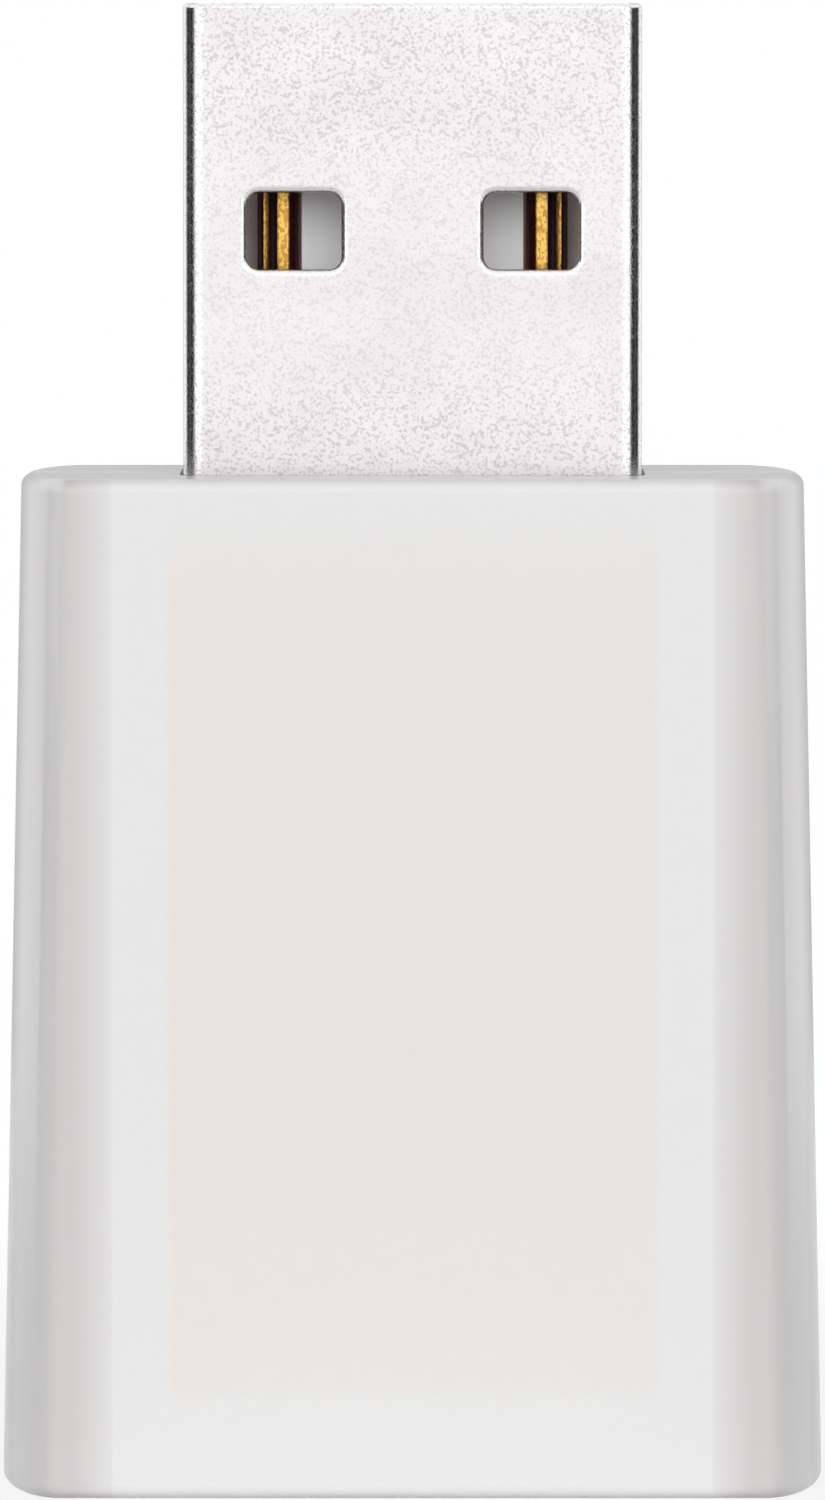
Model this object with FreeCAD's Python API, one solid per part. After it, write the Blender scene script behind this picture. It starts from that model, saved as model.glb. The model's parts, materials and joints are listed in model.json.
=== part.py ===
import FreeCAD, Part
import math
import os

# Signal repeater: a moulded two-part housing with a type A plug on its upper end.
# Sizes are in millimetres. Z runs up along the plug, X to the right, and the front looks along -Y.
# The origin is the middle of the flat lower end. The plug's mid-plane is y = 0.

# Housing walls and edges
wall = 1.1
side_room = 4.29                 # from the plug's side to the housing's side, at the top
side_flare = 0.53                # how far each side spreads from the top down to the bottom
side_round = 1.55                # from a side's middle in to where the flat front begins
end_edge_radius = 0.35
lip_height = 0.6
lip_thickness = 0.5
lip_clearance = 0.05
seam_groove_width = 0.14
seam_groove_depth = 0.12

# Plug shell
plug_width = 12.0
plug_thickness = 4.5
plug_reach = 12.3                # outside the housing
plug_buried = 6.25               # inside the housing
plug_sheet = 0.3
plug_corner_radius = 0.6
plug_gap = 0.1                   # round the shell, in the housing's mouth
plug_tip_bevel = 0.08
window_width = 2.54
window_height = 2.14
window_radius = 0.42
window_offset = 3.09             # from the plug's middle to a window's middle
window_drop = 4.83               # from the tip down to a window's upper edge
window_bevel = 0.1               # the punched edge, outside
fold_slit = 0.05                 # open joint where the folded sheet meets itself
fold_key_width = 1.1
fold_key_root = 1.3
fold_key_head = 1.9
fold_key_heights = (3.6, 13.2)   # above the shell's lower end
leg_width = 1.5
leg_drop = 0.2                   # how far a leg stands out behind the board
leg_height = 1.6                 # from the shell's lower end up to the leg
leg_relief = 0.2
leg_slot_clearance = 0.1

# Insulating block and tongue
mating_gap = 1.95                # open space in front of the tongue
insulator_clearance = 0.05
insulator_setback = 0.2
insulator_round = 0.2
block_length = 9.4
tongue_recess = 0.4
tongue_side_gap = 0.15           # from the tongue to the inside of the shell, on each side
tongue_side_thickness = 0.9      # of the tongue beside the raised middle that holds the contacts
tongue_tip_bevel = 0.35

# Contacts
contact_width = 1.0
contact_thickness = 0.2
contact_proud = 0.05             # how far a contact stands out of the tongue
contact_bevel = 0.08
contact_bend = 0.25              # radius at the middle of the strip
contact_hook = 0.5               # length of the end that is bent into the tongue
contact_slot_clearance = 0.02
outer_contact_offset = 3.5
inner_contact_offset = 1.0
outer_contact_drop = 1.9         # from the tip of the shell
inner_contact_drop = 2.9
tail_length = 1.5                # from the shell's lower end down to the tail's toe
tail_step = 0.45                 # from the shell's lower end down to the tail's bend

# Main board and what holds it
board_thickness = 0.8
board_end_gap = 0.4
board_side_gap = 0.33
board_back_gap = 0.35
board_corner_bevel = 0.7
pin_diameter = 1.1
pin_bore_clearance = 0.05
pin_hole_clearance = 0.1
pin_reach = 1.5                  # into the boss
pin_drop = 2.4                   # below the inside of the upper end
boss_wall = 0.5
boss_gap = 0.1                   # from the solder of the plug's leg to a boss
boss_end_gap = 0.1               # from a boss or a ledge to the board
boss_bore_margin = 0.3           # bore below the pin's end
ledge_width = 1.6
ledge_length = 0.9
ledge_height = 1.3               # above the inside of the lower end
grip_rib_width = 0.7
grip_rib_offset = 3.9
grip_rib_length = 3.2
grip_rib_gap = 0.05
stop_rib_width = 0.8
stop_rib_span = 9.6
stop_rib_overlap = 0.9           # how far the stop reaches behind the shell's lower edge
stop_rib_gap = 0.1

# Power parts, in one row between the plug and the module
parts_gap = 0.3                  # from the row to the module and to the contacts' toes
row_gap = 0.5
cap_length = 2.0
cap_width = 1.25
cap_height = 0.9
small_length = 1.6
small_width = 0.8
small_height = 0.6
tiny_length = 1.0
tiny_width = 0.5
tiny_height = 0.4
end_cap_share = 0.22             # of a part's length that each metal end covers
end_cap_proud = 0.03
led_base_height = 0.25
led_lens_bevel = 0.12
package_length = 2.9
package_width = 1.6
package_height = 1.1
package_stand_off = 0.08
package_bevel = 0.15
lead_thickness = 0.14
lead_width = 0.4
lead_reach = 0.6                 # from the package's side to a lead's toe
lead_knee = 0.2
lead_pitch = 0.95

# Radio module
antenna_zone = 4.8               # left clear of the shield, at the lower end
module_margin = 0.35             # from the shield to the module's upper end and to the antenna zone
module_edge_room = 0.9           # from the shield to the module's long edges
module_thickness = 0.8
module_end_gap = 0.5
half_hole_radius = 0.3
half_hole_pitch = 1.5
half_hole_count = 5
can_height = 1.7
can_sheet = 0.15
can_round = 0.4
can_bevel = 0.15
chip_size = 5.0
chip_height = 0.85
chip_bevel = 0.1
chip_pad_width = 0.28
chip_pad_proud = 0.04
chip_pad_height = 0.2
chip_pads_per_side = 6
chip_side_room = 0.95
chip_end_room = 1.35             # above and below the chip, for a row of capacitors
chip_to_crystal = 1.0
crystal_length = 2.5
crystal_width = 2.0
crystal_base = 0.35
crystal_lid = 0.3
crystal_lid_inset = 0.12
crystal_round = 0.25
antenna_thickness = 0.05
antenna_track = 0.5
antenna_stub_track = 0.35
antenna_margin = 0.6
antenna_turns = 6
antenna_feed_length = 1.0

# Solder
edge_solder_reach = 0.35
edge_solder_height = 0.6
edge_solder_width = 0.8
toe_solder_reach = 0.2
leg_solder_margin = 0.2
leg_solder_bevel = 0.12

overcut = 1.0                    # how far a cutting solid runs past what it cuts

# Radio module, from what is under its shield
can_width = chip_size + chip_to_crystal + crystal_width + 2 * (chip_side_room + can_sheet)
can_length = chip_size + 2 * (chip_end_room + can_sheet)
module_width = can_width + 2 * module_edge_room
module_length = antenna_zone + can_length + 2 * module_margin

# Heights, from the inside of the lower end up to the plug's tip
board_bottom = wall + board_end_gap
module_bottom = board_bottom + module_end_gap
module_top = module_bottom + module_length
row_bottom = module_top + parts_gap
row_top = row_bottom + package_width + 2 * lead_reach
tail_bottom = row_top + parts_gap
plug_bottom = tail_bottom + tail_length
housing_height = plug_bottom + plug_buried
plug_top = housing_height + plug_reach
board_top = housing_height - wall - board_end_gap
can_top = module_top - module_margin
can_middle = can_top - can_length / 2

# Depths, from the plug's mid-plane
board_front = plug_thickness / 2
board_back = board_front + board_thickness
cavity_half_depth = board_back + board_back_gap
housing_half_depth = cavity_half_depth + wall
tongue_front = mating_gap - (plug_thickness / 2 - plug_sheet)
module_front = board_front - module_thickness

# Widths
tongue_width = plug_width - 2 * (plug_sheet + tongue_side_gap)
raised_width = 2 * outer_contact_offset + contact_width
boss_radius = pin_diameter / 2 + pin_bore_clearance + boss_wall
widest_inside = max(plug_width, module_width)
boss_offset = widest_inside / 2 + leg_solder_margin + boss_gap + boss_radius
pin_height = housing_height - wall - pin_drop
housing_top_width = widest_inside + 2 * side_room
housing_bottom_width = housing_top_width + 2 * side_flare
side_slope = side_flare / housing_height


def point(x, y, z):
    return FreeCAD.Vector(x, y, z)


def box(x_range, y_range, z_range):
    low = point(x_range[0], y_range[0], z_range[0])
    return Part.makeBox(
        x_range[1] - x_range[0], y_range[1] - y_range[0], z_range[1] - z_range[0], low
    )


def span(middle, size):
    return (middle - size / 2, middle + size / 2)


def rod(radius, x, z, y_range):
    return Part.makeCylinder(radius, y_range[1] - y_range[0], point(x, y_range[0], z), point(0, 1, 0))


def one_solid(shape):
    """The shape's single solid, with faces that lie in one plane joined."""
    clean = shape.removeSplitter()
    if len(clean.Solids) != 1:
        raise ValueError(f"expected one solid, found {len(clean.Solids)}")
    return clean.Solids[0]


def runs_along(edge, direction):
    if not isinstance(edge.Curve, Part.Line):
        return False
    return abs(edge.Curve.Direction.dot(direction)) > 0.99


def round_edges(shape, radius, wanted):
    return shape.makeFillet(radius, [edge for edge in shape.Edges if wanted(edge)])


def bevel_edges(shape, size, wanted):
    return shape.makeChamfer(size, [edge for edge in shape.Edges if wanted(edge)])


def lies_at_height(edge, height):
    return edge.BoundBox.ZMax - height < 1e-4 and height - edge.BoundBox.ZMin < 1e-4


def lies_at_depth(edge, depth):
    return edge.BoundBox.YMax - depth < 1e-4 and depth - edge.BoundBox.YMin < 1e-4


def rounded_bar(width, thickness, radius, z_range):
    """An upright bar about the Z axis whose four long edges are rounded."""
    bar = box(span(0, width), span(0, thickness), z_range)
    return round_edges(bar, radius, lambda edge: runs_along(edge, point(0, 0, 1)))


def mirrored(shape):
    return shape.mirror(point(0, 0, 0), point(1, 0, 0))


def both_sides(shape):
    """A shape on the right and its mirror image on the left."""
    return [shape, mirrored(shape)]


# Housing

def housing_half_width(height):
    return housing_bottom_width / 2 - side_slope * height


def oval_side(centre, bulge, half_depth):
    """The outline of a half-round side, which runs smoothly into the front and the back."""
    oval = Part.Ellipse(centre + point(0, half_depth, 0), centre + bulge, centre)
    return Part.Wire(oval.toShape())


def arched_side(centre, bulge, half_depth):
    """The outline of a side with the same reach that meets the front and the back in corners."""
    reach = point(0, half_depth, 0)
    arch = Part.Arc(centre + reach, centre + bulge, centre - reach)
    return Part.Wire([arch.toShape(), Part.makeLine(centre - reach, centre + reach)])


def housing_solid(inset, side_outline=oval_side):
    """The housing's form, moved inward by inset."""
    half_depth = housing_half_depth - inset
    corners = []
    for height in (inset, housing_height - inset):
        corners.append(point(housing_half_width(height) - side_round, -half_depth, height))
    outline = corners + [point(-corner.x, corner.y, corner.z) for corner in reversed(corners)]
    profile = Part.Face(Part.makePolygon(outline + [outline[0]]))
    middle = profile.extrude(point(0, 2 * half_depth, 0))
    bulge = point(side_round - inset * math.hypot(1, side_slope), 0, 0)
    foot = side_outline(point(corners[0].x, 0, inset), bulge, half_depth)
    side = Part.Face(foot).extrude(corners[1] - corners[0])
    return one_solid(middle.fuse(both_sides(side)))


def cavity():
    return housing_solid(wall, arched_side)


def housing_skin():
    solid = housing_solid(0)
    for height in (0, housing_height):
        solid = round_edges(solid, end_edge_radius, lambda edge: lies_at_height(edge, height))
    return solid.Solids[0]


def depth_slab(y_range):
    """Everything between two depths, over the housing's whole width and height."""
    width = housing_bottom_width + 2 * overcut
    return box(span(0, width), y_range, (-overcut, housing_height + overcut))


def plug_mouth():
    """The hole in the upper wall, with a running gap round the shell."""
    z_range = (housing_height - wall - overcut, housing_height + overcut)
    return rounded_bar(
        plug_width + 2 * plug_gap,
        plug_thickness + 2 * plug_gap,
        plug_corner_radius + plug_gap,
        z_range,
    )


def housing_shell():
    return housing_skin().cut(cavity())


def seam_groove():
    ring = housing_solid(-overcut).cut(housing_solid(seam_groove_depth))
    return ring.common(depth_slab(span(0, seam_groove_width)))


def lip_ring(clearance):
    """The ring of the front cover that reaches into the rear cover."""
    outer = housing_solid(wall - lip_thickness - clearance)
    ring = outer.cut(cavity())
    return ring.common(depth_slab((0, lip_height + clearance)))


def boss_bore():
    """The right boss's blind hole for its pin."""
    top = board_front - boss_end_gap
    y_range = (top - pin_reach - boss_bore_margin, top + overcut)
    return rod(pin_diameter / 2 + pin_bore_clearance, boss_offset, pin_height, y_range)


def ledge(y_range):
    """A small shelf at the right for the board's lower corner."""
    low = wall + ledge_height
    return box(span(boss_offset, ledge_width), y_range, (low, low + ledge_length))


def grip_ribs():
    """Ribs that press the plug towards the board."""
    y_range = (-cavity_half_depth - wall / 2, -plug_thickness / 2 - grip_rib_gap)
    z_range = (housing_height - wall - grip_rib_length, housing_height - wall / 2)
    return both_sides(box(span(grip_rib_offset, grip_rib_width), y_range, z_range))


def stop_rib():
    """The rib behind the shell's lower edge, which takes the push when the plug is inserted."""
    y_range = (-cavity_half_depth - wall / 2, -plug_thickness / 2 + stop_rib_overlap)
    top = plug_bottom - stop_rib_gap
    return box(span(0, stop_rib_span), y_range, (top - stop_rib_width, top))


def front_cover():
    cover = housing_shell().common(depth_slab((-housing_half_depth - overcut, 0)))
    reach = (-cavity_half_depth - wall / 2, board_front - boss_end_gap)
    inside = both_sides(rod(boss_radius, boss_offset, pin_height, reach))
    inside += both_sides(ledge(reach)) + grip_ribs() + [stop_rib(), lip_ring(0)]
    cutters = both_sides(boss_bore()) + [plug_mouth(), seam_groove()]
    return one_solid(cover.fuse(inside).cut(cutters))


def rear_cover():
    cover = housing_shell().common(depth_slab((0, housing_half_depth + overcut)))
    cover = cover.cut([lip_ring(lip_clearance), seam_groove()])
    seat_range = (board_back, cavity_half_depth + wall / 2)
    pin_range = (board_front - boss_end_gap - pin_reach, cavity_half_depth)
    inside = both_sides(rod(boss_radius, boss_offset, pin_height, seat_range))
    inside += both_sides(rod(pin_diameter / 2, boss_offset, pin_height, pin_range))
    inside += both_sides(ledge(seat_range))
    return one_solid(cover.fuse(inside).cut(plug_mouth()))


# Plug shell

def window_places():
    height = plug_top - window_drop - window_height / 2
    return [(side * window_offset, height) for side in (-1, 1)]


def window_cutter(x, z):
    """One cutter for a window in the front wall and the one behind it."""
    y_range = span(0, plug_thickness + 2 * overcut)
    cutter = box(span(x, window_width), y_range, span(z, window_height))
    return round_edges(cutter, window_radius, lambda edge: runs_along(edge, point(0, 1, 0)))


def on_window_rim(edge):
    """True for the outer edges of the four windows."""
    bounds = edge.BoundBox
    if bounds.YLength > 1e-4 or abs(abs(bounds.YMin) - plug_thickness / 2) > 1e-4:
        return False
    middle = bounds.Center
    across = abs(abs(middle.x) - window_offset) <= window_width / 2 + 1e-3
    along = abs(middle.z - window_places()[0][1]) <= window_height / 2 + 1e-3
    return across and along


def fold_blades():
    """Thin blades along the joint in the shell's rear wall, with a dovetail key in each part."""
    route = [(0, plug_bottom - overcut)]
    for height in fold_key_heights:
        middle = plug_bottom + height
        for x, key, side in (
            (0, fold_key_root, -1),
            (fold_key_width, fold_key_head, -1),
            (fold_key_width, fold_key_head, 1),
            (0, fold_key_root, 1),
        ):
            route.append((x, middle + side * key / 2))
    route.append((0, plug_top + overcut))
    blades = []
    for (x0, z0), (x1, z1) in zip(route, route[1:]):
        length = math.hypot(x1 - x0, z1 - z0)
        blade = box(
            span(0, fold_slit),
            (plug_thickness / 2 - plug_sheet - fold_slit, plug_thickness / 2 + fold_slit),
            span(0, length + fold_slit),
        )
        blade.rotate(point(0, 0, 0), point(0, 1, 0), math.degrees(math.atan2(x1 - x0, z1 - z0)))
        blade.translate(point((x0 + x1) / 2, 0, (z0 + z1) / 2))
        blades.append(blade)
    return blades


def leg_range():
    low = plug_bottom + leg_height
    return (low, low + leg_width)


def shell_leg():
    """The right leg: a strip of the side wall that runs on through the board."""
    x_range = (plug_width / 2 - plug_sheet, plug_width / 2)
    return box(x_range, (0, board_back + leg_drop), leg_range())


def leg_notch():
    """The corner of the folded sheet that is cut away round the right leg."""
    x_range = (plug_width / 2 - plug_corner_radius, plug_width / 2 + overcut)
    y_range = (plug_thickness / 2 - plug_corner_radius, plug_thickness / 2 + overcut)
    low, high = leg_range()
    return box(x_range, y_range, (low - leg_relief, high + leg_relief))


def plug_shell():
    height = (plug_bottom, plug_top)
    inner_width = plug_width - 2 * plug_sheet
    inner_thickness = plug_thickness - 2 * plug_sheet
    tube = rounded_bar(plug_width, plug_thickness, plug_corner_radius, height)
    past_ends = (plug_bottom - overcut, plug_top + overcut)
    tube = tube.cut(
        rounded_bar(inner_width, inner_thickness, plug_corner_radius - plug_sheet, past_ends)
    )
    tube = bevel_edges(tube, plug_tip_bevel, lambda edge: lies_at_height(edge, plug_top))
    tube = tube.cut([window_cutter(x, z) for x, z in window_places()])
    tube = bevel_edges(tube, window_bevel, on_window_rim)
    tube = tube.cut(both_sides(leg_notch()) + fold_blades())
    return one_solid(tube.fuse(both_sides(shell_leg())))


# Contacts

def contact_places():
    """Offset from the middle and top height of each contact, by name."""
    outer_top = plug_top - outer_contact_drop
    inner_top = plug_top - inner_contact_drop
    return {
        "contact_power": (outer_contact_offset, outer_top),
        "contact_data_minus": (inner_contact_offset, inner_top),
        "contact_data_plus": (-inner_contact_offset, inner_top),
        "contact_ground": (-outer_contact_offset, outer_top),
    }


def bent_path(points, radius):
    """A line through the points, with each corner rounded to the radius."""
    edges = []
    start = points[0]
    for corner, after in zip(points[1:], points[2:]):
        back = (start - corner).normalize()
        ahead = (after - corner).normalize()
        half_turn = back.getAngle(ahead) / 2
        reach = radius / math.tan(half_turn)
        first = corner + back * reach
        last = corner + ahead * reach
        inward = (back + ahead).normalize()
        middle = corner + inward * (radius / math.sin(half_turn) - radius)
        edges.append(Part.LineSegment(start, first).toShape())
        edges.append(Part.Arc(first, middle, last).toShape())
        start = last
    edges.append(Part.LineSegment(start, points[-1]).toShape())
    return Part.Wire(edges)


def bent_strip(points, radius, section):
    """A flat strip swept along a bent path, from the section at its first point."""
    sweep = bent_path(points, radius).makePipeShell([section], True, False)
    return one_solid(sweep)


def contact(offset, top):
    """A strip hooked into the tongue, laid along it, and stepped down to the board."""
    middle = tongue_front - contact_proud + contact_thickness / 2
    hook_height = top - contact_thickness / 2
    bend_height = plug_bottom - tail_step
    foot = board_front - contact_thickness / 2
    points = [
        point(offset, middle + contact_hook, hook_height),
        point(offset, middle, hook_height),
        point(offset, middle, bend_height),
        point(offset, foot, bend_height),
        point(offset, foot, tail_bottom),
    ]
    half = contact_width / 2
    bevel = contact_bevel
    right = [(half - bevel, 0), (half, bevel), (half, contact_thickness)]
    outline = right + [(-across, down) for across, down in reversed(right)] + right[:1]
    start = middle + contact_hook
    section = Part.makePolygon([point(offset + across, start, top - down) for across, down in outline])
    return bent_strip(points, contact_bend, section)


# Insulating block and tongue

def contact_channel(offset, top):
    """The room for one contact: a slot along the tongue and a pocket for its hook."""
    slack = contact_slot_clearance
    x_range = span(offset, contact_width + 2 * slack)
    front = tongue_front - contact_proud
    slot_range = (front - slack, front + contact_thickness + slack)
    slot = box(x_range, slot_range, (plug_bottom, top + slack))
    hook_end = front + contact_thickness / 2 + contact_hook + slack
    pocket_low = top - contact_thickness - contact_bend
    pocket = box(x_range, (front - slack, hook_end), (pocket_low, top + slack))
    return slot.fuse(pocket)


def plug_insulator():
    block_bottom = plug_bottom + insulator_setback
    block_top = block_bottom + block_length
    inner_width = plug_width - 2 * plug_sheet - 2 * insulator_clearance
    inner_thickness = plug_thickness - 2 * plug_sheet - 2 * insulator_clearance
    block = rounded_bar(inner_width, inner_thickness, insulator_round, (block_bottom, block_top))
    tongue_top = plug_top - tongue_recess
    tongue_back = inner_thickness / 2
    lengthways = (block_top - overcut, tongue_top)
    side_range = (tongue_back - tongue_side_thickness, tongue_back)
    sides = box(span(0, tongue_width), side_range, lengthways)
    raised = box(span(0, raised_width), (tongue_front, tongue_back), lengthways)
    tongue = bevel_edges(
        sides.fuse(raised).removeSplitter(),
        tongue_tip_bevel,
        lambda edge: lies_at_height(edge, tongue_top) and runs_along(edge, point(1, 0, 0)),
    )
    body = block.fuse(tongue)
    return one_solid(body.cut([contact_channel(*place) for place in contact_places().values()]))


# Main board

def cavity_half_width(depth, height):
    """Half the width inside the walls at a depth behind the mid-plane and a height."""
    bulge = side_round - wall * math.hypot(1, side_slope)
    arch_radius = (cavity_half_depth ** 2 + bulge ** 2) / (2 * bulge)
    drop = arch_radius - math.sqrt(arch_radius ** 2 - depth ** 2)
    return housing_half_width(height) - side_round + bulge - drop


def board_half_width():
    return cavity_half_width(board_back, board_top) - board_side_gap


def main_board():
    board = box(
        span(0, 2 * board_half_width()), (board_front, board_back), (board_bottom, board_top)
    )
    board = bevel_edges(board, board_corner_bevel, lambda edge: runs_along(edge, point(0, 1, 0)))
    past_faces = (board_front - overcut, board_back + overcut)
    hole_radius = pin_diameter / 2 + pin_hole_clearance
    hole = rod(hole_radius, boss_offset, pin_height, past_faces)
    low, high = leg_range()
    slack = leg_slot_clearance
    slot = box(
        (plug_width / 2 - plug_sheet - slack, plug_width / 2 + slack),
        past_faces,
        (low - slack, high + slack),
    )
    return one_solid(board.cut(both_sides(hole) + both_sides(slot)))


# Parts with two metal ends

def seated(part, x, face, z, turn=0.0):
    """A part that was built on y = 0, turned about its own middle and put on a board's face."""
    return part.rotated(point(0, 0, 0), point(0, 1, 0), turn).translated(point(x, face, z))


def chip_part(length, width, height):
    """A small upright block with a metal cap round each end."""
    proud = end_cap_proud
    body = box(span(0, width - 2 * proud), (proud - height, 0), span(0, length - 2 * proud))
    cap = length * end_cap_share
    caps = []
    for side in (-1, 1):
        middle = side * (length - cap) / 2
        caps.append(box(span(0, width), (-height, 0), span(middle, cap)))
    return one_solid(body.fuse(caps))


def led_part(length, width, height):
    """A flat base with two metal ends and a clear block on it."""
    base = chip_part(length, width, led_base_height)
    lens_length = length * (1 - 2 * end_cap_share)
    lens = box(span(0, width), (-height, -led_base_height / 2), span(0, lens_length))
    lens = bevel_edges(lens, led_lens_bevel, lambda edge: lies_at_depth(edge, -height))
    return one_solid(base.fuse(lens))


# Moulded packages with bent leads

def gull_lead(x, side):
    """One lead: out of the package at half height, down to the board and along it."""
    start = package_width / 2
    knee = start + lead_knee
    high = -package_height / 2
    thick = lead_thickness
    outline = [
        (start - lead_knee, high),
        (start - lead_knee, high - thick),
        (knee, high - thick),
        (knee + thick, high),
        (knee + thick, -thick),
        (start + lead_reach, -thick),
        (start + lead_reach, 0),
        (knee + thick / 2, 0),
        (knee, -thick),
        (knee, high),
    ]
    left = x - lead_width / 2
    corners = [point(left, depth, side * along) for along, depth in outline]
    face = Part.Face(Part.makePolygon(corners + corners[:1]))
    return face.extrude(point(lead_width, 0, 0))


def leaded_package(lower_leads, upper_leads):
    """A bevelled block on bent leads, as many on each long side as is asked for."""
    depth_range = (-package_height, -package_stand_off)
    body = box(span(0, package_length), depth_range, span(0, package_width))
    body = bevel_edges(body, package_bevel, lambda edge: lies_at_depth(edge, -package_height))
    leads = []
    for side, count in ((-1, lower_leads), (1, upper_leads)):
        spread = 2 * lead_pitch / (count - 1) if count > 1 else 0
        for index in range(count):
            leads.append(gull_lead((index - (count - 1) / 2) * spread, side))
    return one_solid(body.fuse(leads))


# The row of power parts

def row_parts():
    """Each part of the row by name, with the width that it takes up."""
    cap = (cap_length, cap_width, cap_height)
    small = (small_length, small_width, small_height)
    return {
        "input_fuse": (small_width, chip_part(*small)),
        "input_capacitor": (cap_width, chip_part(*cap)),
        "regulator": (package_length, leaded_package(3, 2)),
        "output_capacitor": (cap_width, chip_part(*cap)),
        "esd_diode": (package_length, leaded_package(2, 1)),
        "bypass_capacitor": (small_width, chip_part(*small)),
        "led_resistor": (tiny_width, chip_part(tiny_length, tiny_width, tiny_height)),
        "status_led": (small_width, led_part(*small)),
    }


def power_row():
    """The row's parts side by side, centred on the board."""
    parts = row_parts()
    total = sum(width for width, part in parts.values()) + row_gap * (len(parts) - 1)
    placed = {}
    left = -total / 2
    for name, (width, part) in parts.items():
        placed[name] = seated(part, left + width / 2, board_front, (row_bottom + row_top) / 2)
        left += width + row_gap
    return placed


# Radio module

def half_hole_heights():
    first = can_middle - half_hole_pitch * (half_hole_count - 1) / 2
    return [first + index * half_hole_pitch for index in range(half_hole_count)]


def module_board():
    board = box(
        span(0, module_width), (module_front, board_front), (module_bottom, module_top)
    )
    past_faces = (module_front - overcut, board_front + overcut)
    holes = [
        rod(half_hole_radius, side * module_width / 2, height, past_faces)
        for side in (-1, 1)
        for height in half_hole_heights()
    ]
    return one_solid(board.cut(holes))


def chip_middle():
    return chip_side_room + can_sheet + chip_size / 2 - can_width / 2


def radio_chip():
    """A flat square package with metal pads that show along its four sides."""
    body = box(span(0, chip_size), (-chip_height, 0), span(0, chip_size))
    body = bevel_edges(body, chip_bevel, lambda edge: lies_at_depth(edge, -chip_height))
    pitch = chip_size / (chip_pads_per_side + 1)
    reach = chip_size + 2 * chip_pad_proud
    bars = []
    for index in range(chip_pads_per_side):
        middle = (index - (chip_pads_per_side - 1) / 2) * pitch
        depth_range = (-chip_pad_height, 0)
        bars.append(box(span(middle, chip_pad_width), depth_range, span(0, reach)))
        bars.append(box(span(0, reach), depth_range, span(middle, chip_pad_width)))
    return seated(one_solid(body.fuse(bars)), chip_middle(), module_front, can_middle)


def crystal():
    """A metal lid on a ceramic base."""
    base = box(span(0, crystal_width), (-crystal_base, 0), span(0, crystal_length))
    lid = box(
        span(0, crystal_width - 2 * crystal_lid_inset),
        (-crystal_base - crystal_lid, -crystal_base),
        span(0, crystal_length - 2 * crystal_lid_inset),
    )
    lid = round_edges(lid, crystal_round, lambda edge: runs_along(edge, point(0, 1, 0)))
    x = chip_middle() + chip_size / 2 + chip_to_crystal + crystal_width / 2
    return seated(one_solid(base.fuse(lid)), x, module_front, can_middle)


def module_capacitors():
    """Two rows of small capacitors, above and below the chip."""
    part = chip_part(tiny_length, tiny_width, tiny_height)
    pitch = tiny_length + tiny_width
    count = int(chip_size / pitch)
    rise = (chip_size + chip_end_room) / 2
    placed = []
    for side in (-1, 1):
        for index in range(count):
            x = chip_middle() + (index - (count - 1) / 2) * pitch
            placed.append(seated(part, x, module_front, can_middle + side * rise, 90))
    return Part.makeCompound(placed)


def can_form(inset, open_reach):
    """The shield's box moved inward by inset. open_reach runs past its open side."""
    half_width = can_width / 2 - inset
    half_length = can_length / 2 - inset
    top = module_front - can_height + inset
    form = box(
        (-half_width, half_width),
        (top, module_front + open_reach),
        (can_middle - half_length, can_middle + half_length),
    )
    form = round_edges(form, can_round - inset, lambda edge: runs_along(edge, point(0, 1, 0)))
    return bevel_edges(form, can_bevel, lambda edge: lies_at_depth(edge, top))


def shield_can():
    """A drawn metal lid over the chip, open towards the board."""
    return one_solid(can_form(0, 0).cut(can_form(can_sheet, overcut)))


def antenna_trace():
    """A printed track in meanders, with a feed and a grounding stub towards the shield."""
    depth_range = (module_front - antenna_thickness, module_front)
    low = module_bottom + antenna_margin
    feed_top = module_bottom + antenna_zone
    high = feed_top - antenna_feed_length
    reach = module_width - 2 * antenna_margin - antenna_track
    pitch = reach / antenna_turns
    tracks = []
    for index in range(antenna_turns + 1):
        x = index * pitch - reach / 2
        top = feed_top if index == 0 else high
        tracks.append(box(span(x, antenna_track), depth_range, (low, top)))
        if index < antenna_turns:
            bridge = (low, low + antenna_track) if index % 2 == 0 else (high - antenna_track, high)
            tracks.append(box((x, x + pitch), depth_range, bridge))
    stub_middle = pitch / 2 - reach / 2
    tracks.append(box(span(stub_middle, antenna_stub_track), depth_range, (low, feed_top)))
    return one_solid(tracks[0].fuse(tracks[1:]))


def antenna_inductor():
    """The matching part beside the antenna's feed."""
    part = chip_part(tiny_length, tiny_width, tiny_height)
    z = module_bottom + antenna_zone - antenna_feed_length / 2
    return seated(part, 0, module_front, z, 90)


# Solder

def wedge(corners, direction):
    """A three-sided fillet: a triangle drawn out along a direction."""
    face = Part.Face(Part.makePolygon(corners + [corners[0]]))
    return face.extrude(direction)


def module_solder():
    """A fillet at each half hole, from the main board up the module's edge."""
    wedges = []
    for height in half_hole_heights():
        low = height - edge_solder_width / 2
        edge = module_width / 2
        corners = [
            point(edge, board_front, low),
            point(edge + edge_solder_reach, board_front, low),
            point(edge, board_front - edge_solder_height, low),
        ]
        fillet = wedge(corners, point(0, 0, edge_solder_width))
        wedges += both_sides(fillet)
    return Part.makeCompound(wedges)


def leg_solder():
    """The joint round the right leg, behind the board."""
    x_range = (
        plug_width / 2 - plug_sheet - leg_solder_margin,
        plug_width / 2 + leg_solder_margin,
    )
    low, high = leg_range()
    z_range = (low - leg_solder_margin, high + leg_solder_margin)
    back = board_back + leg_drop
    pad = box(x_range, (board_back, back), z_range)
    pad = bevel_edges(pad, leg_solder_bevel, lambda edge: lies_at_depth(edge, back))
    return one_solid(pad.cut(shell_leg()))


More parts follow.
